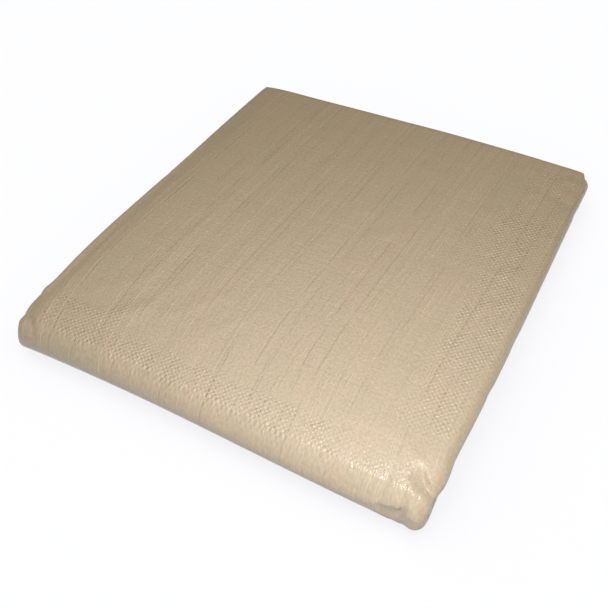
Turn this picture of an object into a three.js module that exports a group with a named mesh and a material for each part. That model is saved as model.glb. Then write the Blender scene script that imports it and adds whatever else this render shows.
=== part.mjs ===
// Poly tarp, folded flat into a plump packet. Millimetres, +Z up.
// The tarp is one sheet of woven, coated polyethylene. It is folded back and forth across its
// width into a strip of six plies, and the strip is folded in half along its length. Each ply is
// four thicknesses of the cloth pressed together.
// The half fold is the round edge at the front (-Y). The strip's outer ply wraps its right side
// (+X), and so the right side shows two round edges with a slit between them. The left side (-X)
// has the small folds and the loose edges, and the back (+Y) has the ends of the plies.
// The packet rests flat on its underside, with the origin at the bottom centre of its box.

import * as THREE from 'three';

// Packet
const packetWidth = 434;
const packetDepth = 479;
const packetHeight = 41.5;

// Folding
const plyCount = 6;
const plyThickness = 2.4;
const halvesGap = 3.2; // between the upper and the lower half of the strip
const halvesOffset = 5; // the lower half lies this much further left
const offsetReach = 120; // over this length from the front bend

// Facets on the bends, one number for each kind of bend
const outerBendFacets = 8;
const middleBendFacets = 6;
const smallBendFacets = 3;
const frontBendFacets = 7;

// Lines across a ply, measured from the left side of the packet
const acrossStations = [10, 20, 40, 92, 122, 230, 340, 378, 398, 410, 418];

// Lines along the strip, measured from the back end of the upper half, and along the underside,
// measured from the front bend
const topStations = [7, 14, 28, 50, 85, 150, 230, 310, 370, 405, 425, 437, 448];
const undersideStations = [20, 90, 220, 350];

// How far each ply's loose end or fold stops short of the packet's outline, from the inside of
// the strip outwards: at the left side, at the back of the upper half and of the lower half
const plyEnds = [
  { left: 5, upperBack: 6, lowerBack: 3 },
  { left: 3, upperBack: 2, lowerBack: 7 },
  { left: 3, upperBack: 5, lowerBack: 2 },
  { left: 7, upperBack: 3, lowerBack: 5 },
  { left: 0, upperBack: 4, lowerBack: 3 },
  { left: 0, upperBack: 0, lowerBack: 1 },
];

// The outline bows out and in between its corners, as waves of one, two and three half turns
const edgeWaves = {
  left: [8.3, 3.7, 1.2],
  right: [2.1, 0.8, 0],
  back: [4.3, -0.9, 0],
  front: [-2.5, -1.6, 0],
};

// Rounded corners of the outline, at the back
const cornerRounds = [
  { sideX: 1, radius: 19 },
  { sideX: -1, radius: 4 },
];

// The packet is flatter towards the back and at its two sides, as shares of its height
const flatter = { back: 0.19, left: 0.04, leftReach: 60, right: 0.03, rightReach: 40 };

// Creases in the upper half, as troughs (depth above 0) or ridges (below 0). Places are measured
// across from the left side and along from the back end.
const creases = [
  { name: 'front right pleat', fromAcross: 411, fromAlong: 437, toAcross: 434, toAlong: 450, width: 13, depth: 3.4 },
  { name: 'front right rim', fromAcross: 398, fromAlong: 463, toAcross: 428, toAlong: 468, width: 10, depth: -2.2 },
  { name: 'front pinch', fromAcross: 409, fromAlong: 474, toAcross: 413, toAlong: 478, width: 9, depth: 2.5 },
  { name: 'front left dart', fromAcross: 3, fromAlong: 448, toAcross: 20, toAlong: 466, width: 10, depth: 2.8 },
  { name: 'left shoulder fold', fromAcross: 4, fromAlong: 425, toAcross: 8, toAlong: 450, width: 9, depth: 2.2 },
  { name: 'long step', fromAcross: 94, fromAlong: 225, toAcross: 104, toAlong: 400, width: 26, depth: 1.4 },
  { name: 'step hook', fromAcross: 104, fromAlong: 400, toAcross: 79, toAlong: 423, width: 20, depth: 1.2 },
  { name: 'left fold', fromAcross: 24, fromAlong: 28, toAcross: 34, toAlong: 150, width: 20, depth: 1 },
  { name: 'back right fold', fromAcross: 350, fromAlong: 33, toAcross: 428, toAlong: 52, width: 18, depth: 2 },
];

// Nicks in the right edge of the upper half
const nicks = [
  { along: 450, width: 12, depth: 2.5 },
  { along: 370, width: 20, depth: 1.2 },
  { along: 52, width: 16, depth: 1.5 },
];

const halfStrip = (packetHeight - halvesGap) / 4; // half the thickness of the strip
const pathRadius = packetHeight / 2 - halfStrip; // middle of the strip round the front bend
const straightRun = packetDepth - packetHeight / 2;
const bendLength = Math.PI * pathRadius;
const outerPly = halfStrip - plyThickness / 2; // middle of the outermost ply
const plyPitch = (2 * outerPly) / (plyCount - 1);
const leftTangent = (plyPitch + plyThickness) / 2; // where a small left fold begins
const rightTangent = packetWidth - halfStrip; // where the right folds begin
const creaseFade = 1.5; // how fast a crease fades with depth in the strip

const colour = 0xb2a284;

function bell(distance, width) {
  const share = Math.min(Math.abs(distance) / width, 1);
  return 0.5 * (1 + Math.cos(Math.PI * share));
}

function smoothRamp(value, start, end) {
  return THREE.MathUtils.smoothstep(value, start, end);
}

// Distance from a place on the cloth to a crease's line
function distanceToCrease(crease, across, along) {
  const lineAcross = crease.toAcross - crease.fromAcross;
  const lineAlong = crease.toAlong - crease.fromAlong;
  const offAcross = across - crease.fromAcross;
  const offAlong = along - crease.fromAlong;
  const lengthSquared = lineAcross ** 2 + lineAlong ** 2;
  const share = THREE.MathUtils.clamp((offAcross * lineAcross + offAlong * lineAlong) / lengthSquared, 0, 1);
  return Math.hypot(offAcross - share * lineAcross, offAlong - share * lineAlong);
}

// The middle line of the folded section: across from the left side, out from the middle of the
// strip, the direction square to the cloth, and which ply it belongs to, from the inside out
function sectionLine() {
  const line = [];
  const plyOut = (ply) => -outerPly + ply * plyPitch;

  function addPly(ply, towardsRight) {
    const stations = [leftTangent + plyEnds[ply].left, ...acrossStations, rightTangent];
    if (!towardsRight) stations.reverse();
    const facing = towardsRight ? 1 : -1;
    for (const across of stations) {
      line.push({ across, out: plyOut(ply), normalAcross: 0, normalOut: facing, ply });
    }
  }

  // Half a turn from one ply to another, at the right side or at the left one
  function addFold(fromPly, toPly, atRight, facets) {
    const middle = (plyOut(fromPly) + plyOut(toPly)) / 2;
    const radius = (plyOut(toPly) - plyOut(fromPly)) / 2;
    for (let i = 1; i < facets; i += 1) {
      const turn = (Math.PI * i) / facets;
      const share = i / facets;
      const start = atRight
        ? rightTangent
        : leftTangent + THREE.MathUtils.lerp(plyEnds[fromPly].left, plyEnds[toPly].left, share);
      const outwards = atRight ? 1 : -1;
      line.push({
        across: start + outwards * Math.abs(radius) * Math.sin(turn),
        out: middle - radius * Math.cos(turn),
        normalAcross: -Math.sign(radius) * Math.sin(turn),
        normalOut: outwards * Math.cos(turn),
        ply: THREE.MathUtils.lerp(fromPly, toPly, share),
      });
    }
  }

  addPly(0, true);
  addFold(0, 5, true, outerBendFacets);
  addPly(5, false);
  addFold(5, 4, false, smallBendFacets);
  addPly(4, true);
  addFold(4, 1, true, middleBendFacets);
  addPly(1, false);
  addFold(1, 2, false, smallBendFacets);
  addPly(2, true);
  addFold(2, 3, true, smallBendFacets);
  addPly(3, false);
  return line;
}

// Both faces of the sheet, each as a row of places on the section
function sectionFaces() {
  const half = plyThickness / 2;
  const face = (side) =>
    sectionLine().map((point) => ({
      across: point.across + side * half * point.normalAcross,
      out: point.out + side * half * point.normalOut,
      ply: point.ply,
    }));
  return [face(1), face(-1)];
}

// Setback of a ply's end at the back, for a place between two plies too
function setback(ply, half) {
  const below = Math.floor(ply);
  const above = Math.ceil(ply);
  return THREE.MathUtils.lerp(plyEnds[below][half], plyEnds[above][half], ply - below);
}

// Distances along the strip, from the back end of the upper half to that of the lower half
function alongStations(ply) {
  const bendStart = straightRun;
  const bendEnd = straightRun + bendLength;
  const bend = [];
  for (let i = 0; i <= frontBendFacets; i += 1) bend.push(bendStart + (bendLength * i) / frontBendFacets);
  const underside = undersideStations.map((distance) => bendEnd + distance);
  const first = setback(ply, 'upperBack');
  const last = bendEnd + straightRun - setback(ply, 'lowerBack');
  return [first, ...topStations, ...bend, ...underside, last];
}

// Creases and nicks move a place in the strip towards its middle
function pressed(across, out, along) {
  const depthShare = ((out + halfStrip) / (2 * halfStrip)) ** creaseFade;
  let pressedOut = out;
  for (const crease of creases) {
    pressedOut -= crease.depth * depthShare * bell(distanceToCrease(crease, across, along), crease.width);
  }
  let pressedAcross = across;
  const sideShare = smoothRamp(across, packetWidth - 40, packetWidth);
  for (const nick of nicks) {
    pressedAcross -= nick.depth * sideShare * bell(along - nick.along, nick.width);
  }
  return { across: pressedAcross, out: pressedOut };
}

// The strip bent round the front: a place in the strip becomes a point in space
function bent(across, out, along) {
  const fromBend = along - straightRun - bendLength;
  const x = across - packetWidth / 2 - halvesOffset * smoothRamp(fromBend, 0, offsetReach);
  const bendY = -packetDepth / 2 + packetHeight / 2;
  if (along <= straightRun) {
    return new THREE.Vector3(x, packetDepth / 2 - along, packetHeight - halfStrip + out);
  }
  if (fromBend >= 0) {
    return new THREE.Vector3(x, bendY + fromBend, halfStrip - out);
  }
  const turn = (along - straightRun) / pathRadius;
  const radius = pathRadius + out;
  return new THREE.Vector3(x, bendY - radius * Math.sin(turn), packetHeight / 2 + radius * Math.cos(turn));
}

// Sum of the half waves of one side, at a share of its length
function wave(side, share) {
  return edgeWaves[side].reduce((sum, size, i) => sum + size * Math.sin(Math.PI * (i + 1) * share), 0);
}

// The square outline becomes the uneven one of the real packet
function settled(point) {
  for (const { sideX, radius } of cornerRounds) {
    const inX = sideX * point.x - packetWidth / 2 + radius;
    const inY = point.y - packetDepth / 2 + radius;
    if (inX > 0 && inY > 0) {
      const shrink = Math.max(inX, inY) / Math.hypot(inX, inY);
      point.x = sideX * (packetWidth / 2 - radius + inX * shrink);
      point.y = packetDepth / 2 - radius + inY * shrink;
    }
  }
  const right = THREE.MathUtils.clamp(point.x / packetWidth + 0.5, 0, 1);
  const back = THREE.MathUtils.clamp(point.y / packetDepth + 0.5, 0, 1);
  const high = THREE.MathUtils.clamp(point.z / packetHeight, 0, 1);
  point.x += wave('right', back) * right ** 3 - wave('left', back) * (1 - right) ** 3;
  point.y += wave('back', right) * back ** 3 - wave('front', right) * (1 - back) ** 3 * (1 - high / 2);
  const fromLeft = point.x + packetWidth / 2;
  const fromRight = packetWidth / 2 - point.x;
  const lower =
    flatter.back * back ** 2 +
    flatter.left * (1 - smoothRamp(fromLeft, 0, flatter.leftReach)) +
    flatter.right * (1 - smoothRamp(fromRight, 0, flatter.rightReach));
  point.z *= 1 - lower;
  return point;
}

// Closed body of the sheet: two faces, two long edges and two ends
function foldedSheetGeometry() {
  const faces = sectionFaces();
  const placesAcross = faces[0].length;
  const placesAlong = alongStations(0).length;
  const positions = [];
  for (const face of faces) {
    for (const place of face) {
      for (const along of alongStations(place.ply)) {
        const moved = pressed(place.across, place.out, along);
        positions.push(...settled(bent(moved.across, moved.out, along)).toArray());
      }
    }
  }
  const at = (face, i, j) => (face * placesAcross + i) * placesAlong + j;
  const indices = [];
  function addQuad(a, b, c, d) {
    indices.push(a, b, c, a, c, d);
  }
  for (let i = 0; i < placesAcross - 1; i += 1) {
    // All plies are split into triangles the same way, so that they stay apart in the creases
    const towardsRight = faces[0][i + 1].across > faces[0][i].across;
    for (let j = 0; j < placesAlong - 1; j += 1) {
      const upper = [at(0, i, j), at(0, i, j + 1), at(0, i + 1, j + 1), at(0, i + 1, j)];
      const lower = [at(1, i, j), at(1, i + 1, j), at(1, i + 1, j + 1), at(1, i, j + 1)];
      for (const [a, b, c, d] of [upper, lower]) {
        if (towardsRight) addQuad(a, b, c, d);
        else addQuad(b, c, d, a);
      }
    }
    addQuad(at(0, i, 0), at(0, i + 1, 0), at(1, i + 1, 0), at(1, i, 0));
    const end = placesAlong - 1;
    addQuad(at(0, i, end), at(1, i, end), at(1, i + 1, end), at(0, i + 1, end));
  }
  const last = placesAcross - 1;
  for (let j = 0; j < placesAlong - 1; j += 1) {
    addQuad(at(0, 0, j), at(1, 0, j), at(1, 0, j + 1), at(0, 0, j + 1));
    addQuad(at(0, last, j), at(0, last, j + 1), at(1, last, j + 1), at(1, last, j));
  }
  const geometry = new THREE.BufferGeometry();
  geometry.setAttribute('position', new THREE.Float32BufferAttribute(positions, 3));
  geometry.setIndex(indices);
  return geometry;
}

function foldedSheet() {
  const geometry = foldedSheetGeometry();
  geometry.computeBoundingBox();
  const centre = geometry.boundingBox.getCenter(new THREE.Vector3());
  geometry.translate(-centre.x, -centre.y, -geometry.boundingBox.min.z);
  geometry.computeVertexNormals();
  const material = new THREE.MeshStandardMaterial({ color: colour, roughness: 0.5, metalness: 0 });
  const mesh = new THREE.Mesh(geometry, material);
  mesh.name = 'folded_sheet';
  return mesh;
}

const foldedTarp = new THREE.Group();
foldedTarp.add(foldedSheet());

export default foldedTarp;
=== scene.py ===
import math

import bpy
import numpy as np
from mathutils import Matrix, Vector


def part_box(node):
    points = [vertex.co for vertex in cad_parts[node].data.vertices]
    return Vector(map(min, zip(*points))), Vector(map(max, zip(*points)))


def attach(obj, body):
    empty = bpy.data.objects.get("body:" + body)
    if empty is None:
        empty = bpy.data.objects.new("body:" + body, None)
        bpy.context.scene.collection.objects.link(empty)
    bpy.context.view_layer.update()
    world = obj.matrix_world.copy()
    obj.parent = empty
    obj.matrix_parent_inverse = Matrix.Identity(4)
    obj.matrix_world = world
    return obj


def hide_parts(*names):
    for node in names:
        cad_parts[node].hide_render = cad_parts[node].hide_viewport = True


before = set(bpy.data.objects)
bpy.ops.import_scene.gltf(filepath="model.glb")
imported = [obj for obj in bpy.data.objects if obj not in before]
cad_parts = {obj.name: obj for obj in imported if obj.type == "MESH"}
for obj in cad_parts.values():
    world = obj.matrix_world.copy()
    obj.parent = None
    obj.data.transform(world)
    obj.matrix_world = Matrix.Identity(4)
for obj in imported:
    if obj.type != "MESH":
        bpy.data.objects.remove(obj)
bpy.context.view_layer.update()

mm = 0.001

# One sheet of woven, coated polyethylene, folded to a packet. Millimetres.
# "across" runs from the packet's left side, "along" from the back of its upper half, over the
# front bend and on to the back of the lower half, "out" from the middle of the folded strip.
tarp = {
    "piece": "foldedTarp",
    "node": "folded_sheet",
    "width": 434.0,
    "depth": 479.0,
    "height": 41.5,
    "middle": (-6.9, 2.6),  # what lies over the middle of the solid's box
    "plies": 6,
    "plyThickness": 2.4,  # four thicknesses of the cloth and the air between them
    "halvesGap": 3.2,
    "halvesOffset": 5.0,  # the lower half lies this much further left
    "offsetReach": (-18.0, 60.0),  # where this begins and ends, from the end of the bend
    "cloth": 0.3,  # its thickness
    "runs": [-1.05, -0.35, 0.35, 1.05],  # the four runs of cloth in a ply, out from its middle
    "tape": 2.54,  # ten tapes an inch
}
# Sizes that follow from these, for the strip of plies that is folded in half
strip = {}
strip["half"] = (tarp["height"] - tarp["halvesGap"]) / 4
strip["radius"] = tarp["height"] / 2 - strip["half"]
strip["straight"] = tarp["depth"] - tarp["height"] / 2
strip["bend"] = math.pi * strip["radius"]
strip["total"] = 2 * strip["straight"] + strip["bend"]
strip["outerPly"] = strip["half"] - tarp["plyThickness"] / 2
strip["pitch"] = 2 * strip["outerPly"] / (tarp["plies"] - 1)
strip["left"] = (strip["pitch"] + tarp["plyThickness"]) / 2
strip["right"] = tarp["width"] - strip["half"]


def smoothRamp(value, start, end):
    share = np.clip((value - start) / (end - start), 0, 1)
    return share * share * (3 - 2 * share)


def bell(distance, reach):
    return 0.5 * (1 + np.cos(np.pi * np.minimum(np.abs(distance) / reach, 1)))


def stations(steps):
    places = []
    for start, end, step in steps:
        count = max(round((end - start) / step), 1)
        places.extend(start + (end - start) * k / count for k in range(count))
    return places + [steps[-1][1]]


# How far each ply stops short of the outline, from the inside of the strip outwards, and how
# far its ends wander to and fro
tarp["plyEnds"] = [
    {"left": 5.0, "upperBack": 6.0, "lowerBack": 3.0, "wander": 1.0},
    {"left": 3.0, "upperBack": 2.0, "lowerBack": 7.0, "wander": 1.4},
    {"left": 3.0, "upperBack": 5.0, "lowerBack": 2.0, "wander": 0.9},
    {"left": 7.0, "upperBack": 3.0, "lowerBack": 5.0, "wander": 1.2},
    {"left": 0.0, "upperBack": 4.0, "lowerBack": 3.0, "wander": 1.0},
    {"left": 0.0, "upperBack": 0.0, "lowerBack": 1.0, "wander": 0.3},
]
# The plies in the order that the cloth takes, and the facets of the fold after each. These folds
# are at the right and at the left by turns.
tarp["foldOrder"] = [(0, 19), (5, 6), (4, 8), (1, 5), (2, 5), (3, 0)]
# Facet lines of the mesh across the packet, as from, to and step, and inside it
tarp["acrossSteps"] = [(6, 26, 2.2), (26, 386, 5.6), (386, 404, 1.8), (404, 423, 1.1)]
tarp["hiddenAcross"] = [40, 110, 200, 290, 360, 400]


# The folded section: columns of across, out, the direction square to the cloth and ply. With it go
# the cloth's own places across and its flat width.
def sectionLine():
    line = []
    outermost = tarp["plies"] - 1

    def plyOut(ply):
        return -strip["outerPly"] + ply * strip["pitch"]

    def addPly(ply, towardsRight):
        middle = stations(tarp["acrossSteps"]) if ply == outermost else tarp["hiddenAcross"]
        places = [strip["left"] + tarp["plyEnds"][ply]["left"], *middle, strip["right"]]
        facing = 1 if towardsRight else -1
        for across in places[::facing]:
            line.append((across, plyOut(ply), 0, facing, ply))

    def addFold(fromPly, toPly, atRight, facetCount):
        fromLeft, toLeft = tarp["plyEnds"][fromPly]["left"], tarp["plyEnds"][toPly]["left"]
        middle = (plyOut(fromPly) + plyOut(toPly)) / 2
        radius = (plyOut(toPly) - plyOut(fromPly)) / 2
        outwards = 1 if atRight else -1
        for k in range(1, facetCount):
            share = k / facetCount
            turn = math.pi * share
            ends = fromLeft * (1 - share) + toLeft * share
            start = strip["right"] if atRight else strip["left"] + ends
            line.append((
                start + outwards * abs(radius) * math.sin(turn),
                middle - radius * math.cos(turn),
                -math.copysign(1, radius) * math.sin(turn),
                outwards * math.cos(turn),
                fromPly * (1 - share) + toPly * share,
            ))

    for number, (ply, facetCount) in enumerate(tarp["foldOrder"]):
        atRight = number % 2 == 0
        addPly(ply, atRight)
        if facetCount:
            addFold(ply, tarp["foldOrder"][number + 1][0], atRight, facetCount)
    section = np.array(line, dtype=float)
    steps = np.hypot(np.diff(section[:, 0]), np.diff(section[:, 1]))
    developed = np.concatenate([[0], np.cumsum(steps)])
    topRight = int(np.argmax(section[:, 4] >= outermost))
    # The cloth's own place across: the same as the packet's on its top
    clothAcross = section[topRight, 0] + developed[topRight] - developed
    return section, clothAcross, developed[-1]


# Facet lines along the cloth, for its outermost run and for those inside: the upper half, the
# steps on the rim of the bend and round the rest of it, and the lower half, from the bend
tarp["outerLines"] = {
    "top": [(6, 30, 4), (30, 420, 7), (420, 436, 1.8), (436, 457, 1.1)],
    "rim": 1.1,
    "bend": 2.2,
    "under": [(10, 30, 10), (30, None, 52)],
}
tarp["innerLines"] = {
    "top": [(10, 400, 48), (400, 430, 5), (430, 456, 2.6)],
    "rim": 4,
    "bend": 5,
    "under": [(20, None, 60)],
}
tarp["rimReach"] = 18.0
tarp["lastLine"] = 20.0  # where the lower half's steps end, from the end of the strip
tarp["runFacets"] = 4  # of the small fold between two runs


# Lines along the cloth, run by run: the strip's upper back end is 0. Columns of along, out of the
# ply, the direction square to the cloth as out and along, and how far the small fold between two
# runs stands out. With them go the cloth's own places along, its flat length and the outer run's rows.
def runLines():
    rows = []
    bendStart, bendEnd = strip["straight"], strip["straight"] + strip["bend"]
    rimEnd, lastLine = bendStart + tarp["rimReach"], strip["total"] - tarp["lastLine"]
    runs, facetCount = tarp["runs"], tarp["runFacets"]

    def places(outer):
        lines = tarp["outerLines" if outer else "innerLines"]
        bend = [(bendStart, rimEnd, lines["rim"]), (rimEnd, bendEnd, lines["bend"])]
        under = [
            (bendEnd + start, bendEnd + end if end else lastLine, step)
            for start, end, step in lines["under"]
        ]
        return [0.0, *stations(lines["top"]), *stations(bend), *stations(under), strip["total"]]

    outerRows = len(places(True))
    for number, out in enumerate(runs):
        forwards = number % 2 == 1  # the first run ends at the upper back
        order = places(number == 0)
        if not forwards:
            order = order[::-1]
        facing = 1 if forwards else -1
        for along in order:
            rows.append((along, out, facing, 0.0, 0.0))
        if number == len(runs) - 1:
            break
        end = order[-1]
        middle, radius = (out + runs[number + 1]) / 2, (runs[number + 1] - out) / 2
        for k in range(1, facetCount):
            turn = math.pi * k / facetCount
            rows.append((
                end,
                middle - radius * math.cos(turn),
                facing * math.cos(turn),
                facing * math.sin(turn),
                facing * radius * math.sin(turn),
            ))
    table = np.array(rows)
    steps = np.hypot(np.diff(table[:, 0] + table[:, 4]), np.diff(table[:, 1]))
    developed = np.concatenate([[0], np.cumsum(steps)])
    topBack = int(np.argmin(np.abs(table[:outerRows, 0])))
    # The cloth's own place along: the same as the strip's on its outer run
    clothAlong = developed[topBack] - developed
    return table, clothAlong, developed[-1], outerRows


# Creases as troughs (depth above 0) or ridges (below 0). Each line's places are across and
# along; depths are spread from its start to its end, reach is to its left and right on the way.
tarp["creases"] = [
    {"name": "front right pleat", "line": [(414, 438), (418, 444), (424, 449), (434, 453)],
     "depth": (0.8, 4.0, 5.4, 4.2), "reach": (4, 14), "sharp": True},
    {"name": "gloss ridge", "line": [(411, 451), (418, 461), (424, 468)],
     "depth": (-0.5, -0.9), "reach": (5, 6)},
    {"name": "front pinch", "line": [(414.5, 464), (416, 469), (416, 474)],
     "depth": (0.9, 1.9, 0.8), "reach": (4, 4.5)},
    {"name": "pinch lip", "line": [(406, 473), (411, 469)], "depth": (-0.4, -1.2), "reach": (2.5, 3)},
    {"name": "under the rim", "line": [(380, 476), (396, 474), (412, 472)],
     "depth": (0.4, 1.2, 1.5), "reach": (4, 8)},
    {"name": "room under the pinch", "line": [(388, 477), (408, 477), (420, 472)], "depth": (1.2, 2.0, 1.4),
     "reach": (12, 12), "inside": True},
    {"name": "front right slit", "line": [(428, 463), (434, 468)], "depth": (0.8, 2.2), "reach": (2.5, 3)},
    {"name": "valley in the gloss", "line": [(391, 446), (392, 458), (394, 471)],
     "depth": (0.3, 1.5), "reach": (7, 3.5)},
    {"name": "front left dart", "line": [(5, 456), (9, 457), (14, 460), (20, 465), (22, 472)],
     "depth": (1.6, 3.0, 1.8, 0.5), "reach": (3.5, 4), "sharp": True},
    {"name": "front left lobe", "line": [(4, 463), (10, 474)], "depth": (-1.4, -0.6), "reach": (6, 6)},
    {"name": "long valley",
     "line": [(112, 30), (110, 60), (109, 120), (107, 180), (104, 215), (101, 300), (98, 375), (97, 396)],
     "depth": (0.2, 0.75), "reach": (9, 3.5)},
    {"name": "pad crest", "line": [(22, 430), (50, 426), (72, 425), (84, 420), (95, 411), (103, 398)],
     "depth": (-0.3, -1.1), "reach": (8, 24)},
    {"name": "pad fold 1", "line": [(77, 436), (80, 450), (87, 468)], "depth": (0.4, 0.7), "reach": (4, 4)},
    {"name": "pad fold 2", "line": [(92, 424), (98, 448)], "depth": (0.5, 0.3), "reach": (5, 4)},
    {"name": "slant 1", "line": [(50, 395), (67, 382), (79, 370), (85, 349)],
     "depth": (-0.5, -0.4), "reach": (7, 9)},
    {"name": "slant 2 valley", "line": [(116, 394), (124, 374), (141, 350)],
     "depth": (0.4, 0.3), "reach": (7, 7)},
    {"name": "slant 2", "line": [(131, 398), (146, 382), (156, 365), (166, 352)],
     "depth": (-0.6, -0.6), "reach": (7, 8)},
    {"name": "slant 3", "line": [(184, 392), (196, 376), (206, 355)],
     "depth": (-0.5, -0.4), "reach": (6, 7)},
    {"name": "front dent 1", "line": [(151, 406), (152, 438)], "depth": (0.5, 0.4), "reach": (8, 7)},
    {"name": "front dent 2", "line": [(189, 412), (192, 434)], "depth": (0.4, 0.3), "reach": (8, 7)},
    {"name": "left fold", "line": [(37, 14), (34, 60), (29, 100), (27, 150), (22, 186)],
     "depth": (-0.5, -0.3), "reach": (7, 6)},
    {"name": "left nick fold", "line": [(-2, 207), (10, 204), (22, 204)],
     "depth": (1.2, 0.5), "reach": (2.5, 10)},
    {"name": "left ripple", "line": [(26, 352), (30, 330), (29, 312)],
     "depth": (-0.4, -0.3), "reach": (5, 5)},
    {"name": "layer corner", "line": [(204, 68), (209, 60), (228, 48), (246, 38), (263, 27)],
     "depth": (-0.45, -0.3), "reach": (4, 4)},
    {"name": "layer edge", "line": [(203, 66), (204, 100), (202, 168)],
     "depth": (-0.35, -0.15), "reach": (4, 5)},
    {"name": "back swell", "line": [(230, 79), (276, 77)], "depth": (-0.35, -0.35), "reach": (10, 9)},
    {"name": "back left swell", "line": [(118, 59), (152, 57)], "depth": (-0.3, -0.3), "reach": (8, 8)},
    {"name": "back left line", "line": [(115, 18), (116, 48)], "depth": (-0.3, -0.2), "reach": (3.5, 3.5)},
    {"name": "left middle dash", "line": [(113, 133), (128, 121)], "depth": (-0.35, -0.3), "reach": (4, 4)},
    {"name": "middle left dash", "line": [(119, 243), (153, 242)],
     "depth": (-0.35, -0.35), "reach": (5, 5)},
    {"name": "middle bump", "line": [(221, 178), (222, 206)], "depth": (-0.4, -0.4), "reach": (7, 7)},
    {"name": "middle slant", "line": [(250, 212), (286, 183)], "depth": (-0.5, -0.5), "reach": (9, 9)},
    {"name": "middle groove 1", "line": [(260, 268), (280, 266), (300, 265)],
     "depth": (0.25, 0.25), "reach": (2.5, 2.5)},
    {"name": "middle groove 2", "line": [(264, 274), (290, 272)], "depth": (0.2, 0.2), "reach": (2.5, 2.5)},
    {"name": "upright 1", "line": [(267, 113), (270, 152)], "depth": (-0.3, -0.3), "reach": (5, 5)},
    {"name": "upright 2", "line": [(305, 92), (311, 132)], "depth": (-0.4, -0.4), "reach": (7, 7)},
    {"name": "upright 3", "line": [(317, 130), (318, 164)], "depth": (0.45, 0.35), "reach": (6, 6)},
    {"name": "upright 4", "line": [(329, 98), (329, 126)], "depth": (0.45, 0.35), "reach": (6, 6)},
    {"name": "right swell", "line": [(338, 119), (356, 121), (374, 122)],
     "depth": (-0.5, -0.6), "reach": (9, 8)},
    {"name": "band edge", "line": [(378, 126), (380, 184)], "depth": (0.3, 0.3), "reach": (3, 3)},
    {"name": "band ripple 1", "line": [(383, 242), (384, 213), (390, 202), (402, 192)],
     "depth": (-0.5, -0.7), "reach": (4, 7)},
    {"name": "band ripple 2", "line": [(385, 257), (400, 247), (419, 231)],
     "depth": (-0.5, -0.6), "reach": (6, 6)},
    {"name": "band ripple 3", "line": [(400, 267), (424, 259)], "depth": (-0.4, -0.4), "reach": (4, 4)},
    {"name": "right trough", "line": [(351, 286), (356, 334)], "depth": (0.45, 0.45), "reach": (7, 7)},
    {"name": "front right slant", "line": [(368, 411), (390, 421), (408, 432)],
     "depth": (-0.35, -0.45), "reach": (10, 10)},
    {"name": "back right arc", "line": [(350, 40), (355, 28), (366, 21), (376, 25)],
     "depth": (-0.5, -0.4), "reach": (6, 7)},
    {"name": "back right thread", "line": [(354, 39), (371, 47), (376, 60), (375, 86)],
     "depth": (0.35, 0.3), "reach": (3, 3)},
    {"name": "back right fold", "line": [(378, 53), (402, 55), (412, 61), (430, 69)],
     "depth": (0.7, 1.7), "reach": (14, 4.5)},
    {"name": "back right crest", "line": [(403, 44), (404, 29), (413, 21), (432, 22)],
     "depth": (-0.6, -0.9), "reach": (4, 11)},
    {"name": "right side fold", "line": [(427, 411), (434, 417)], "depth": (0.9, 0.6), "reach": (5, 2.5)},
]
tarp["sharpFall"] = 1.6  # how steeply a sharp crease comes up from its line


def creaseDepth(crease, across, along, wider=0.0):
    points = np.array(crease["line"], dtype=float)
    count = len(points) - 1
    nearest = np.full(across.shape, np.inf)
    depth = np.zeros(across.shape)
    for k in range(count):
        run = points[k + 1] - points[k]
        length = np.hypot(*run)
        offAcross, offAlong = across - points[k][0], along - points[k][1]
        share = np.clip((offAcross * run[0] + offAlong * run[1]) / length ** 2, 0, 1)
        distance = np.hypot(offAcross - share * run[0], offAlong - share * run[1])
        side = (run[0] * offAlong - run[1] * offAcross) / (length * np.maximum(distance, 1e-6))
        leftReach, rightReach = crease["reach"]
        reach = wider + leftReach + (rightReach - leftReach) * (0.5 + 0.5 * np.clip(side, -1, 1))
        places = np.linspace(0, count, len(crease["depth"]))
        fall = bell(distance, reach)
        if crease.get("sharp"):
            fall = np.clip(1 - distance / reach, 0, 1) ** tarp["sharpFall"]
        here = np.interp(k + share, places, crease["depth"]) * fall
        depth = np.where(distance < nearest, here, depth)
        nearest = np.minimum(distance, nearest)
    return depth


# The cloth behind the pleat leans out over it, which makes its wall steep
tarp["flap"] = {"line": ((414, 438), (434, 454)), "over": 3.2, "wall": 4.0, "reach": 18.0, "start": 12.0}


def flapShift(across, along):
    flap = tarp["flap"]
    start, end = (np.array(point, dtype=float) for point in flap["line"])
    length = np.hypot(*(end - start))
    run = (end - start) / length
    onward = (across - start[0]) * run[0] + (along - start[1]) * run[1]
    behind = (across - start[0]) * run[1] - (along - start[1]) * run[0]
    share = smoothRamp(behind, 0, flap["wall"]) * (1 - smoothRamp(behind, flap["wall"], flap["reach"]))
    share = share * smoothRamp(onward, 0, flap["start"])
    return -run[1] * share * flap["over"], run[0] * share * flap["over"]


# Dents in the sides (bulges below 0), with their reach towards the back and towards the front
tarp["nicks"] = [
    {"side": "right", "along": 437, "depth": -2.4, "reach": (30, 18)},
    {"side": "right", "along": 462, "depth": -1.0, "reach": (14, 10)},
    {"side": "right", "along": 336, "depth": 0.8, "reach": (14, 14)},
    {"side": "right", "along": 268, "depth": 0.5, "reach": (20, 20)},
    {"side": "right", "along": 60, "depth": 0.5, "reach": (12, 12)},
    {"side": "left", "along": 446, "depth": -6.6, "reach": (44, 34)},
]
tarp["nickReach"] = 40.0  # from the side inwards
tarp["creaseFade"] = 1.5  # how quickly creases grow weaker from layer to layer
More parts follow.
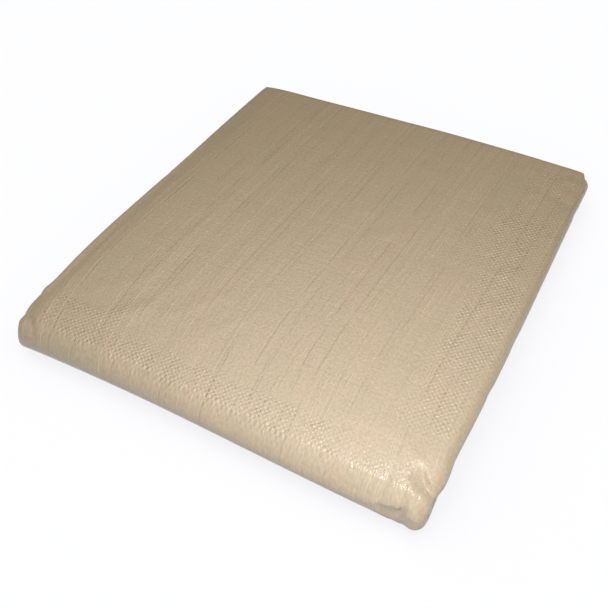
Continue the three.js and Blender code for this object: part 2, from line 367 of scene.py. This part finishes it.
# Under the outermost cloth deep creases are wider and deeper, and ridges are left out, so that
# nothing comes through it
tarp["underneath"] = {"from": 0.35, "to": 0.65, "deep": 1.4, "wider": 5.0, "deeper": 1.2}
tarp["turnSoftness"] = 2.0  # eases the way from the top's direction into that of the side's round


# Creases go square to the strip's surface, also round its right-hand fold
def pressed(across, out, along):
    share = np.clip((out + strip["half"]) / (2 * strip["half"]), 0, None) ** tarp["creaseFade"]
    underneath = tarp["underneath"]
    pastRight = np.maximum(across - strip["right"], 0)
    fromMiddle = np.hypot(pastRight, np.maximum(out, 0))
    within = smoothRamp(strip["half"] - fromMiddle, underneath["from"], underneath["to"])
    depth = np.zeros(across.shape)
    for crease in tarp["creases"]:
        own = creaseDepth(crease, across, along)
        if crease.get("inside"):
            own = own * within
        elif min(crease["depth"]) < 0:
            own = own * (1 - within)
        elif max(crease["depth"]) > underneath["deep"]:
            wide = creaseDepth(crease, across, along, underneath["wider"]) * underneath["deeper"]
            own = own + within * np.maximum(wide - own, 0)
        depth += own
    turn = np.arctan2(pastRight, np.maximum(out, 0) + tarp["turnSoftness"])
    sides = {
        "right": smoothRamp(across, tarp["width"] - tarp["nickReach"], tarp["width"]),
        "left": -smoothRamp(across, tarp["nickReach"], 0),
    }
    pressedAcross = across - share * depth * np.sin(turn)
    for nick in tarp["nicks"]:
        towardsBack, towardsFront = nick["reach"]
        away = along - nick["along"]
        fall = bell(away, np.where(away < 0, towardsBack, towardsFront))
        pressedAcross -= nick["depth"] * sides[nick["side"]] * fall
    overAcross, overAlong = flapShift(across, along)
    pressedAcross = pressedAcross + share * overAcross * np.cos(turn)
    pressedOut = out - share * (depth * np.cos(turn) + overAcross * np.sin(turn))
    return pressedAcross, pressedOut, along + share * overAlong


# The strip bent round the front: places in the strip become points in space
def bent(across, out, along):
    fromBend = along - strip["straight"] - strip["bend"]
    x = across - tarp["width"] / 2 - tarp["halvesOffset"] * smoothRamp(fromBend, *tarp["offsetReach"])
    bendY = -tarp["depth"] / 2 + tarp["height"] / 2
    turn = (along - strip["straight"]) / strip["radius"]
    around = strip["radius"] + out
    upper, lower = along <= strip["straight"], fromBend >= 0
    y = np.where(
        upper,
        tarp["depth"] / 2 - along,
        np.where(lower, bendY + fromBend, bendY - around * np.sin(turn)),
    )
    z = np.where(
        upper,
        tarp["height"] - strip["half"] + out,
        np.where(lower, strip["half"] - out, tarp["height"] / 2 + around * np.cos(turn)),
    )
    return x, y, z


# The outline bows between its corners, as waves of one, two and three half turns
tarp["edgeWaves"] = {
    "left": [9.3, 3.2, 1.2],
    "right": [2.9, 0.8, 0.0],
    "back": [4.3, -0.9, 0.0],
    "front": [-3.4, -1.4, 0.0],
}
tarp["edgeFade"] = 3  # how quickly these waves die away inwards
tarp["backCorners"] = [{"side": 1, "radius": 15.0}, {"side": -1, "radius": 4.0}]
tarp["backFlatter"] = 0.19
# Shoulders fall away towards an edge. Stations: place from the edge's back or left end (0 to 1),
# share of the height lost at the edge, reach in from the edge
tarp["shoulders"] = [
    {"edge": "left", "stations": [
        (0, 0.06, 38), (0.36, 0.09, 40), (0.6, 0.08, 30), (0.8, 0.06, 18), (0.9, 0.05, 16), (1, 0.1, 22),
    ]},
    {"edge": "right", "stations": [(0, 0.04, 26), (0.8, 0.04, 26), (1, 0.06, 26)]},
    {"edge": "front", "stations": [(0, 0.1, 46), (0.3, 0.13, 56), (1, 0.15, 62)]},
]


def wave(side, share):
    return sum(size * np.sin(np.pi * (k + 1) * share) for k, size in enumerate(tarp["edgeWaves"][side]))


# The square outline becomes the uneven one of the real packet
def settled(x, y, z):
    width, depth, height = tarp["width"], tarp["depth"], tarp["height"]
    for corner in tarp["backCorners"]:
        side, radius = corner["side"], corner["radius"]
        inX, inY = side * x - width / 2 + radius, y - depth / 2 + radius
        inside = (inX > 0) & (inY > 0)
        shrink = np.where(inside, np.maximum(inX, inY) / np.maximum(np.hypot(inX, inY), 1e-9), 1)
        x = np.where(inside, side * (width / 2 - radius + inX * shrink), x)
        y = np.where(inside, depth / 2 - radius + inY * shrink, y)
    right = np.clip(x / width + 0.5, 0, 1)
    back = np.clip(y / depth + 0.5, 0, 1)
    high = np.clip(z / height, 0, 1)
    fade = tarp["edgeFade"]
    x = x + wave("right", back) * right ** fade - wave("left", back) * (1 - right) ** fade
    y = y + wave("back", right) * back ** fade - wave("front", right) * (1 - back) ** fade * (1 - high / 2)
    lower = tarp["backFlatter"] * back ** 2
    inside = {"left": x + width / 2, "right": width / 2 - x, "front": y + depth / 2}
    for shoulder in tarp["shoulders"]:
        places, shares, reaches = zip(*shoulder["stations"])
        place = right if shoulder["edge"] == "front" else 1 - back
        fall = np.clip(1 - inside[shoulder["edge"]] / np.interp(place, places, reaches), 0, 1) ** 2
        lower = lower + np.interp(place, places, shares) * fall
    return x, y, z * (1 - lower)


# Flat places pressed into the packet: a point on each, the way it faces and how far it reaches
tarp["facets"] = [
    {"name": "front right end", "point": (177, -237.6, 28), "facing": (0.212, -0.97, 0.11), "reach": 30},
    {"name": "front right corner", "point": (212, -237.2, 26), "facing": (-0.1, -0.985, 0.14), "reach": 18},
    {"name": "front left side", "point": (-210.5, -203, 40.4), "facing": (-0.5, -0.12, 0.86), "reach": 26},
]
tarp["facetSoftness"] = 0.08
tarp["facetLayers"] = 0.8  # the share of their distance that the layers keep under it
tarp["facetFade"] = 0.6  # the share of its reach where it begins to end


# Cloth beyond a facet is laid against it, the outer layers still outside the inner ones
def faceted(x, y, z, out):
    for facet in tarp["facets"]:
        facing = np.array(facet["facing"]) / np.linalg.norm(facet["facing"])
        point = facet["point"]
        beyond = (x - point[0]) * facing[0] + (y - point[1]) * facing[1] + (z - point[2]) * facing[2]
        beyond = beyond + tarp["facetLayers"] * (strip["half"] - out)
        away = np.hypot(x - point[0], y - point[1]) / facet["reach"]
        push = np.maximum(beyond, 0) * (1 - tarp["facetSoftness"])
        push = push * (1 - smoothRamp(away, tarp["facetFade"], 1))
        x, y, z = x - push * facing[0], y - push * facing[1], z - push * facing[2]
    return x, y, z


# The ends of the plies wander to and fro
tarp["wanderWaves"] = [
    {"share": 0.6, "length": 41, "shift": 2.1},
    {"share": 0.4, "length": 17, "shift": 4.3},
]
tarp["endFade"] = 60.0  # over this length the setback of an end dies away


def setback(ply, end, across):
    whole = np.floor(ply).astype(int)
    share = ply - whole
    above = np.minimum(whole + 1, tarp["plies"] - 1)
    rows = np.array([row[end] for row in tarp["plyEnds"]])
    wander = np.array([row["wander"] for row in tarp["plyEnds"]])
    mixed = rows[whole] * (1 - share) + rows[above] * share
    swing = wander[whole] * (1 - share) + wander[above] * share
    waves = sum(
        row["share"] * np.sin(across / row["length"] + row["shift"] * ply) for row in tarp["wanderWaves"]
    )
    return mixed + swing * waves


# The warp runs a little askew to the packet, and leans to the right near the front
tarp["warp"] = {"skew": -0.045, "turnBack": 0.2, "start": 270.0, "end": 480.0}


def lean(along):
    warp = tarp["warp"]
    length = warp["end"] - warp["start"]
    share = np.clip((along - warp["start"]) / length, 0, 1)
    past = np.maximum(along - warp["end"], 0)
    return warp["skew"] * along + warp["turnBack"] * (length * (share ** 3 - share ** 4 / 2) + past)


# A second map with every face beside the others: the outside of the packet takes most of it.
# Shares are of a face's own size, spans are places in the map.
bake = {
    "hiddenColumns": 0.05,
    "hiddenRows": 0.04,
    "underside": 0.3,
    "pastBend": 8.0,
    "leastLength": 0.05,
    "outerSpan": (0.002, 0.925),
    "innerSpan": (0.945, 0.998),
    "edges": {"start": 0.928, "pitch": 0.004, "width": 0.003},
}


def bakeMap(section, rows, clothAcross, clothAlong, outerRows):
    plies = section[:, 4]
    order = [ply for ply, facetCount in tarp["foldOrder"]]
    lastUnder = np.flatnonzero(plies == order[0])[-1]
    firstInside = np.flatnonzero(plies == order[2])[0]
    column = np.arange(len(section) - 1)
    seenColumn = (column >= lastUnder) & (column < firstInside)
    row = np.arange(len(rows) - 1)
    undersideStart = strip["straight"] + strip["bend"] + bake["pastBend"]
    rowShare = np.where(rows[:-1, 0] <= undersideStart, 1.0, bake["underside"])
    rowShare = np.where(row < outerRows - 1, rowShare, bake["hiddenRows"])
    widths = np.abs(np.diff(clothAcross)) * np.where(seenColumn, 1, bake["hiddenColumns"])
    lengths = (np.abs(np.diff(clothAlong)) + bake["leastLength"]) * rowShare
    u = np.concatenate([[0], np.cumsum(widths)]) / widths.sum()
    v = np.concatenate([[0], np.cumsum(lengths)]) / lengths.sum()

    def grid(left, right):
        across, along = np.meshgrid(left + u * (right - left), v, indexing="ij")
        return np.stack([across, along], -1)

    def strand(places, left, right):
        low = np.stack([np.full(len(places), left), places], -1)
        high = np.stack([np.full(len(places), right), places], -1)
        return low, high

    def quads(a, b, c, d):
        return np.stack([a, b, c, d], -2).reshape(-1, 4, 2)

    outer, inner = grid(*bake["outerSpan"]), grid(*bake["innerSpan"])
    parts = [
        quads(outer[:-1, :-1], outer[1:, :-1], outer[1:, 1:], outer[:-1, 1:]),
        quads(inner[:-1, :-1], inner[:-1, 1:], inner[1:, 1:], inner[1:, :-1]),
    ]
    edges = bake["edges"]
    for number, (places, inwards) in enumerate(((u, True), (u, False), (v, False), (v, True))):
        left = edges["start"] + edges["pitch"] * number
        low, high = strand(places, left, left + edges["width"])
        if inwards:
            parts.append(quads(low[:-1], high[:-1], high[1:], low[1:]))
        else:
            parts.append(quads(low[:-1], low[1:], high[1:], high[:-1]))
    return np.concatenate(parts)


# Where the weave stands out of the coating, and with it the painted sheen of its tapes: soft-edged patches
tarp["weavePatches"] = [
    {"name": "front left", "across": (18, 97), "along": (421, 461), "fade": 6, "strength": 1.0},
    {"name": "front left top", "across": (82, 99), "along": (406, 430), "fade": 6, "strength": 1.0},
    {"name": "front", "across": (92, 345), "along": (434, 463), "fade": 9, "strength": 0.9},
    {"name": "front end", "across": (335, 405), "along": (438, 458), "fade": 12, "strength": 0.3},
    {"name": "right", "across": (376, 426), "along": (180, 320), "fade": 12, "strength": 0.9},
    {"name": "right front", "across": (376, 426), "along": (300, 404), "fade": 22, "strength": 0.62},
    {"name": "right back", "across": (362, 426), "along": (92, 190), "fade": 16, "strength": 1.1},
    {"name": "back right", "across": (372, 430), "along": (16, 100), "fade": 20, "strength": 0.7},
    {"name": "right inner", "across": (322, 372), "along": (95, 205), "fade": 16, "strength": 0.4},
]
# Where the coating is crumpled finely and glints
tarp["glossPatches"] = [
    {"name": "end", "across": (398, 428), "along": (444, 470), "fade": 8, "strength": 1.0},
    {"name": "by the valley", "across": (374, 393), "along": (444, 474), "fade": 8, "strength": 1.0},
    {"name": "left of it", "across": (360, 374), "along": (448, 468), "fade": 7, "strength": 0.9},
    {"name": "above", "across": (372, 408), "along": (423, 446), "fade": 12, "strength": 0.7},
    {"name": "front", "across": (150, 365), "along": (428, 468), "fade": 14, "strength": 0.45},
    {"name": "inner right", "across": (280, 420), "along": (330, 440), "fade": 40, "strength": 0.25},
]
tarp["sharpAngle"] = 50.0


# Both sides of the cloth as points in space: side, place across, place along
def sheetPoints(section, rows):
    across, out, normalAcross, normalOut, ply = (column[:, None] for column in section.T)
    along, fromPly, upright, endwise, bulge = (column[None, :] for column in rows.T)
    nearUpper = 1 - smoothRamp(along, 0, tarp["endFade"])
    nearLower = smoothRamp(along, strip["total"] - tarp["endFade"], strip["total"])
    base = (
        along
        + nearUpper * setback(ply, "upperBack", across)
        - nearLower * setback(ply, "lowerBack", across)
        + bulge
    )
    points = []
    half = tarp["cloth"] / 2
    for face in (1, -1):
        square = fromPly + face * half * upright
        placeAcross, placeOut, placeAlong = np.broadcast_arrays(
            across + square * normalAcross,
            out + square * normalOut,
            base + face * half * endwise,
        )
        plain = np.stack(settled(*bent(placeAcross, placeOut, placeAlong)), -1)
        push = np.stack(faceted(*np.moveaxis(plain, -1, 0), placeOut), -1) - plain
        moved = pressed(placeAcross, placeOut, placeAlong)
        points.append(np.stack(settled(*bent(*moved)), -1) + push)
    return np.array(points)


# The outer side, the inner side and the four edges between them
def sheetFaces(countAcross, countAlong):
    outer, inner = np.arange(2 * countAcross * countAlong).reshape(2, countAcross, countAlong)

    def quads(a, b, c, d):
        return np.stack([a, b, c, d], -1).reshape(-1, 4)

    return np.concatenate([
        quads(outer[:-1, :-1], outer[1:, :-1], outer[1:, 1:], outer[:-1, 1:]),
        quads(inner[:-1, :-1], inner[:-1, 1:], inner[1:, 1:], inner[1:, :-1]),
        quads(outer[:-1, 0], inner[:-1, 0], inner[1:, 0], outer[1:, 0]),
        quads(outer[:-1, -1], outer[1:, -1], inner[1:, -1], inner[:-1, -1]),
        quads(outer[0, :-1], outer[0, 1:], inner[0, 1:], inner[0, :-1]),
        quads(outer[-1, :-1], inner[-1, :-1], inner[-1, 1:], outer[-1, 1:]),
    ])


def enclosedVolume(spots, faces):
    corners = spots[faces]
    middle = spots.mean(0)
    first, second, third, fourth = (corners[:, k] - middle for k in range(4))
    volume = np.einsum("ij,ij->i", first, np.cross(second, third)).sum()
    volume += np.einsum("ij,ij->i", first, np.cross(third, fourth)).sum()
    return volume


# How strongly any of the patches acts at each point
def patchStrength(patches, stripAcross, stripAlong):
    amount = np.zeros(len(stripAcross))
    for patch in patches:
        inside = np.minimum(stripAcross - patch["across"][0], patch["across"][1] - stripAcross)
        insideAlong = np.minimum(stripAlong - patch["along"][0], patch["along"][1] - stripAlong)
        inside = np.minimum(inside, insideAlong)
        share = smoothRamp(inside, -patch["fade"] / 2, patch["fade"] / 2)
        amount = np.maximum(amount, patch["strength"] * share)
    return amount


def sheetMesh():
    section, clothAcross, flatWidth = sectionLine()
    rows, clothAlong, flatLength, outerRows = runLines()
    points = sheetPoints(section, rows)
    faces = sheetFaces(*points.shape[1:3])
    spots = points.reshape(-1, 3)
    baked = bakeMap(section, rows, clothAcross, clothAlong, outerRows)
    if enclosedVolume(spots, faces) < 0:  # faces have to point outwards
        faces, baked = faces[:, ::-1], baked[:, ::-1]

    nodeLow, nodeHigh = (np.array(corner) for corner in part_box(tarp["node"]))
    shift = (nodeLow + nodeHigh) / 2 - np.array([*tarp["middle"], 0]) * mm
    shift[2] = nodeLow[2] - spots[:, 2].min() * mm
    spots = spots * mm + shift

    mesh = bpy.data.meshes.new(tarp["piece"])
    mesh.from_pydata(spots.tolist(), [], faces.tolist())
    stripAcross = np.broadcast_to(clothAcross[None, :, None], points.shape[:3]).ravel()
    stripAlong = np.broadcast_to(clothAlong[None, None, :], points.shape[:3]).ravel()
    clothMap = mesh.uv_layers.new(name="cloth")
    corner = np.empty(len(mesh.loops), dtype=np.int32)
    mesh.loops.foreach_get("vertex_index", corner)
    leaned = (stripAcross - lean(stripAlong)) * mm
    clothMap.data.foreach_set("uv", np.column_stack([leaned, stripAlong * mm])[corner].ravel())
    mesh.uv_layers.new(name="OFBake").data.foreach_set("uv", baked.ravel())
    for name, patches in (("weaveRelief", tarp["weavePatches"]), ("glossCrumple", tarp["glossPatches"])):
        amount = patchStrength(patches, stripAcross, stripAlong)
        mesh.attributes.new(name, "FLOAT", "POINT").data.foreach_set("value", amount)
    mesh.polygons.foreach_set("use_smooth", [True] * len(mesh.polygons))
    mesh.set_sharp_from_angle(angle=math.radians(tarp["sharpAngle"]))
    mesh.update()
    print("sheet", len(mesh.vertices), "vertices", 2 * len(mesh.polygons), "triangles, flat size",
          round(flatWidth), "by", round(flatLength), "mm")
    return mesh, flatWidth * mm, flatLength * mm


# The finish. Heights are millimetres.
cloth = {
    "name": "tanPoly",
    "colour": (0.50, 0.395, 0.255),
    "pinker": (1.02, 0.995, 1.0),
    "greener": (0.985, 1.0, 0.985),
    "coat": 0.8,
    "coatRoughness": 0.3,
    "glintSmoother": 0.14,
    "wobble": 0.9,  # how far the tapes wander, in tapes
    "weaveHeight": 0.2,
    "weftHeight": 0.5,  # share of the warp's
    "faintWeave": 0.1,  # share of the weave's height where the coating hides it
    # painted sheen: how much lighter cells with the warp on top are than those with the weft on top
    "weaveSheenTone": 0.2,
    "lineHeight": 0.2,
    "lineTone": 0.2,
    "lineLength": 20.0,  # changes to the metre along a tape
    "lineLevel": 0.9,  # 1 sinks as many tapes as it raises
    "weftLines": 0.3,  # share of the warp's
    "crinkleHeight": 0.32,
    "speckHeight": 0.42,  # where the coating is crumpled
    "swellHeight": 0.3,
    "grainTone": 0.3,
    # Noises: waves to the metre across and along, detail, and how far each is moved aside
    "noises": {
        "wobbleAcross": (150.0, 150.0, 1.0, 5.0),
        "wobbleAlong": (150.0, 150.0, 1.0, 31.0),
        "patches": (60.0, 45.0, 2.0, 0.0),
        "crinkle": (330.0, 280.0, 2.0, 0.0),
        "swell": (52.0, 40.0, 2.0, 0.0),
        "specks": (520.0, 430.0, 2.0, 13.0),
        "cloud": (26.0, 18.0, 3.0, 0.0),
        "grain": (420.0, 380.0, 1.0, 77.0),
    },
    # Ramps: from and to in the value, and what these two ends become
    "ramps": {
        "tapeEdge": (0.3, 0.5, 1.0, 0.0),
        "patchy": (0.3, 0.7, 0.5, 1.15),
        "uneven": (0.0, 1.0, 0.5, 1.5),
        "proud": (0.2, 1.0, 0.3, 1.0),
        "lineParts": (0.42, 0.58, 0.15, 1.0),
        "lineEdge": (0.1, 0.3, 1.0, 0.0),
        "tint": (0.35, 0.65, 0.0, 1.0),
        "roughness": (0.2, 0.8, 0.41, 0.5),
    },
}


def tarpMaterial():
    material = bpy.data.materials.new(cloth["name"])
    material.use_nodes = True
    tree = material.node_tree
    nodes, links = tree.nodes, tree.links
    shader = nodes["Principled BSDF"]

    def put(socket, value):
        if isinstance(value, bpy.types.NodeSocket):
            links.new(value, socket)
        else:
            socket.default_value = value

    def maths(operation, *values):
        node = nodes.new("ShaderNodeMath")
        node.operation = operation
        for socket, value in zip(node.inputs, values):
            put(socket, value)
        return node.outputs[0]

    def ramp(value, name):
        node = nodes.new("ShaderNodeMapRange")
        node.interpolation_type = "SMOOTHSTEP"
        put(node.inputs["Value"], value)
        for socketName, given in zip(("From Min", "From Max", "To Min", "To Max"), cloth["ramps"][name]):
            put(node.inputs[socketName], given)
        return node.outputs[0]

    def vector(x, y, z=0.0):
        node = nodes.new("ShaderNodeCombineXYZ")
        for socket, value in zip(node.inputs, (x, y, z)):
            put(socket, value)
        return node.outputs[0]

    def noise(place, detail):
        node = nodes.new("ShaderNodeTexNoise")
        node.noise_dimensions = "2D"
        put(node.inputs["Vector"], place)
        put(node.inputs["Scale"], 1.0)
        put(node.inputs["Detail"], detail)
        return node.outputs["Fac"]

    def pick(number, seed):
        node = nodes.new("ShaderNodeTexWhiteNoise")
        node.noise_dimensions = "1D"
        put(node.inputs["W"], maths("ADD", number, seed))
        return node.outputs["Value"]

    def mixed(factor, first, second):
        node = nodes.new("ShaderNodeMix")
        node.data_type = "RGBA"
        put(node.inputs[0], factor)
        put(node.inputs[6], first)
        put(node.inputs[7], second)
        return node.outputs[2]

    uvMap = nodes.new("ShaderNodeUVMap")
    uvMap.uv_map = "cloth"
    split = nodes.new("ShaderNodeSeparateXYZ")
    links.new(uvMap.outputs[0], split.inputs[0])

    def scaled(name):
        acrossScale, alongScale, detail, aside = cloth["noises"][name]
        placeAcross = maths("ADD", maths("MULTIPLY", split.outputs[0], acrossScale), aside)
        return noise(vector(placeAcross, maths("MULTIPLY", split.outputs[1], alongScale)), detail)

    def tapes(place, noiseName):
        wobble = maths("MULTIPLY", maths("SUBTRACT", scaled(noiseName), 0.5), cloth["wobble"])
        return maths("ADD", maths("DIVIDE", place, tarp["tape"] * mm), wobble)

    tapesAcross = tapes(split.outputs[0], "wobbleAcross")
    tapesAlong = tapes(split.outputs[1], "wobbleAlong")
    warpTape, weftTape = maths("FLOOR", tapesAcross), maths("FLOOR", tapesAlong)
    acrossTape = maths("SUBTRACT", maths("SUBTRACT", tapesAcross, warpTape), 0.5)
    alongTape = maths("SUBTRACT", maths("SUBTRACT", tapesAlong, weftTape), 0.5)
    over = maths("FLOORED_MODULO", maths("ADD", warpTape, weftTape), 2.0)

    # A tape's top is level across and arched where it passes over the next one
    def pillow(acrossIt, alongIt):
        edge = ramp(maths("ABSOLUTE", acrossIt), "tapeEdge")
        arch = maths("COSINE", maths("MULTIPLY", alongIt, math.pi))
        return maths("MULTIPLY", edge, arch)

    warpTop = maths("MULTIPLY", over, pillow(acrossTape, alongTape))
    weftTop = maths("MULTIPLY", maths("SUBTRACT", 1.0, over), pillow(alongTape, acrossTape))
    weave = maths("SUBTRACT", warpTop, maths("MULTIPLY", weftTop, cloth["weftHeight"]))
    relief, crumple = nodes.new("ShaderNodeAttribute"), nodes.new("ShaderNodeAttribute")
    relief.attribute_name, crumple.attribute_name = "weaveRelief", "glossCrumple"

    # The relief differs from patch to patch, and a little where each two tapes cross
    patchy = ramp(scaled("patches"), "patchy")
    crossing = maths("ADD", warpTape, maths("MULTIPLY", weftTape, 0.37))
    uneven = ramp(pick(crossing, 1.7), "uneven")
    patchy = maths("MULTIPLY", patchy, uneven)
    strength = maths("MULTIPLY", maths("ADD", relief.outputs["Fac"], cloth["faintWeave"]), patchy)
    weaveHeight = maths("MULTIPLY", maths("MULTIPLY", weave, strength), cloth["weaveHeight"] * mm)

    # Single tapes stand proud or sunk for a while, which draws long thin lines
    def tapeLine(tape, inTape, place, seed, turned):
        proud = maths("SUBTRACT", maths("MULTIPLY", pick(tape, seed), 2.0), cloth["lineLevel"])
        proud = maths("MULTIPLY", proud, ramp(maths("ABSOLUTE", proud), "proud"))
        spot = (maths("MULTIPLY", tape, 0.61), maths("MULTIPLY", place, cloth["lineLength"]))
        where = ramp(noise(vector(*(spot[::-1] if turned else spot)), 3.0), "lineParts")
        raised = ramp(maths("ABSOLUTE", inTape), "lineEdge")
        return maths("MULTIPLY", maths("MULTIPLY", proud, where), raised)

    warpLine = tapeLine(warpTape, acrossTape, split.outputs[1], 3.3, False)
    weftLine = tapeLine(weftTape, alongTape, split.outputs[0], 8.7, True)
    lines = maths("ADD", warpLine, maths("MULTIPLY", weftLine, cloth["weftLines"]))
    crinkle = scaled("crinkle")
    swell = scaled("swell")
    height = maths("ADD", weaveHeight, maths("MULTIPLY", lines, cloth["lineHeight"] * mm))
    speck = maths("MULTIPLY", scaled("specks"), crumple.outputs["Fac"])
    height = maths("ADD", height, maths("MULTIPLY", speck, cloth["speckHeight"] * mm))
    height = maths("ADD", height, maths("MULTIPLY", crinkle, cloth["crinkleHeight"] * mm))
    height = maths("ADD", height, maths("MULTIPLY", swell, cloth["swellHeight"] * mm))

    bump = nodes.new("ShaderNodeBump")
    put(bump.inputs["Strength"], 1.0)
    put(bump.inputs["Distance"], 1.0)
    put(bump.inputs["Height"], height)

    # Colour: a little pinker or greener in soft patches, lighter or darker from tape to tape, and a painted
    # sheen that makes cells with the warp on top lighter and cells with the weft on top darker
    cloud = scaled("cloud")
    greener, pinker = (
        (*(base * change for base, change in zip(cloth["colour"], cloth[name])), 1)
        for name in ("greener", "pinker")
    )
    tint = mixed(ramp(cloud, "tint"), greener, pinker)
    # painted sheen of the shiny tapes: a checker of lighter and darker cells, as strong as the weave stands
    # out
    tapeSheen = maths("MULTIPLY", maths("SUBTRACT", over, 0.5), maths("MULTIPLY", strength, cloth["weaveSheenTone"]))
    tone = maths("ADD", maths("ADD", 1.0, tapeSheen), maths("MULTIPLY", lines, cloth["lineTone"]))
    grain = maths("MULTIPLY", maths("SUBTRACT", scaled("grain"), 0.5), cloth["grainTone"])
    tone = maths("ADD", tone, grain)
    shade = nodes.new("ShaderNodeVectorMath")
    shade.operation = "SCALE"
    put(shade.inputs[0], tint)
    put(shade.inputs["Scale"], tone)
    put(shader.inputs["Base Color"], shade.outputs[0])
    put(shader.inputs["Normal"], bump.outputs[0])
    put(shader.inputs["Roughness"], ramp(cloud, "roughness"))
    shader.inputs["Coat Weight"].default_value = cloth["coat"]
    glint = maths("MULTIPLY", crumple.outputs["Fac"], cloth["glintSmoother"])
    put(shader.inputs["Coat Roughness"], maths("SUBTRACT", cloth["coatRoughness"], glint))
    put(shader.inputs["Coat Normal"], bump.outputs[0])
    return material


def link(thing):
    bpy.context.scene.collection.objects.link(thing)
    return thing


mesh, flatWidth, flatLength = sheetMesh()
mesh.materials.append(tarpMaterial())
foldedTarp = link(bpy.data.objects.new(tarp["piece"], mesh))
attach(foldedTarp, "root")
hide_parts(tarp["node"])
print("tarp made")

studio = {
    "floorSize": 12.0,
    "floorColour": (0.9, 0.9, 0.9, 1),
    "floorRoughness": 0.9,
    "floorDrop": 0.0002,
    "worldColour": (1.0, 0.955, 0.845),
    "worldStrength": 0.246,
    "worldBelow": 0.25,  # the share of it that comes from below the horizon
    "horizon": (-0.15, 0.05),
    "floorLight": 2.7,
    "floorLightColour": (1.0, 1.015, 1.07),
    "floorLightAngle": 60.0,
    "cameraPlace": (0.31094, -0.52946, 0.61842),
    "cameraTurn": (42.14128, 2.78075, 29.21358),
    "lens": 47.17,
    "sensor": 36.0,
    "clip": (0.01, 50.0),
}
# Two lamps give the shading, without a glint of their own, and two give the sheen of the coating
studio["lamps"] = [
    {"name": "key", "place": (0.27, -0.44, 0.54), "size": 0.3,
     "power": 4.7, "colour": (0.92, 0.965, 1.14), "sheen": False},
    {"name": "top", "place": (-0.04, 0.22, 1.15), "size": 0.5,
     "power": 1.35, "colour": (1.25, 1.05, 0.45), "sheen": False},
    {"name": "backSheen", "place": (-0.35, 0.3, 1.15), "size": 0.6,
     "power": 1.1, "colour": (1, 1, 1), "sheen": True},
    {"name": "nearSheen", "place": (0.2, -0.15, 0.9), "size": 0.15,
     "power": 2.7, "colour": (1.03, 0.98, 1.0), "sheen": True},
]


def makeFloor():
    side = studio["floorSize"] / 2
    floorMesh = bpy.data.meshes.new("floor")
    corners = [(-side, -side, 0), (side, -side, 0), (side, side, 0), (-side, side, 0)]
    floorMesh.from_pydata(corners, [], [(0, 1, 2, 3)])
    material = bpy.data.materials.new("paleFloor")
    material.use_nodes = True
    shader = material.node_tree.nodes["Principled BSDF"]
    shader.inputs["Base Color"].default_value = studio["floorColour"]
    shader.inputs["Roughness"].default_value = studio["floorRoughness"]
    floorMesh.materials.append(material)
    floor = link(bpy.data.objects.new("floor", floorMesh))
    floor.location.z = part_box(tarp["node"])[0][2] - studio["floorDrop"]
    floor.visible_diffuse = False  # the floor sends no light up under the packet
    return floor


def makeWorld():
    world = bpy.data.worlds.new("studioWorld")
    world.use_nodes = True
    tree = world.node_tree
    background = tree.nodes["Background"]
    background.inputs["Strength"].default_value = studio["worldStrength"]
    place, split = tree.nodes.new("ShaderNodeTexCoord"), tree.nodes.new("ShaderNodeSeparateXYZ")
    level, tint = tree.nodes.new("ShaderNodeMapRange"), tree.nodes.new("ShaderNodeVectorMath")
    tint.operation = "SCALE"
    tint.inputs[0].default_value = studio["worldColour"]
    level.inputs["From Min"].default_value, level.inputs["From Max"].default_value = studio["horizon"]
    level.inputs["To Min"].default_value = studio["worldBelow"]
    level.inputs["To Max"].default_value = 1.0
    tree.links.new(place.outputs["Generated"], split.inputs[0])
    tree.links.new(split.outputs[2], level.inputs["Value"])
    tree.links.new(level.outputs[0], tint.inputs["Scale"])
    tree.links.new(tint.outputs[0], background.inputs["Color"])
    bpy.context.scene.world = world


def makeLights(floor):
    lit = bpy.data.collections.new("litByLamps")
    lit.objects.link(foldedTarp)
    for row in studio["lamps"]:
        light = bpy.data.lights.new(row["name"], "AREA")
        light.shape = "DISK"
        light.size = row["size"]
        light.energy = row["power"]
        light.color = row["colour"]
        lamp = link(bpy.data.objects.new(row["name"], light))
        lamp.location = row["place"]
        lamp.rotation_euler = (-lamp.location).to_track_quat("-Z", "Y").to_euler()
        lamp.light_linking.receiver_collection = lit
        lamp.visible_diffuse = not row["sheen"]
        lamp.visible_glossy = row["sheen"]
    # A broad light from above falls on the floor alone, and the tarp throws no shadow in it
    above = bpy.data.lights.new("floorLight", "SUN")
    above.angle = math.radians(studio["floorLightAngle"])
    above.energy = studio["floorLight"]
    above.color = studio["floorLightColour"]
    sun = link(bpy.data.objects.new("floorLight", above))
    ground = bpy.data.collections.new("litFloor")
    ground.objects.link(floor)
    sun.light_linking.receiver_collection = ground
    sun.light_linking.blocker_collection = ground


def makeCamera():
    camera = bpy.data.cameras.new("camera")
    camera.sensor_width = studio["sensor"]
    camera.lens = studio["lens"]
    camera.clip_start, camera.clip_end = studio["clip"]
    holder = link(bpy.data.objects.new("camera", camera))
    holder.location = studio["cameraPlace"]
    holder.rotation_euler = [math.radians(angle) for angle in studio["cameraTurn"]]
    bpy.context.scene.camera = holder


makeWorld()
makeLights(makeFloor())
makeCamera()
bpy.context.scene.view_settings.view_transform = "Standard"
print("stage, lights and camera made")
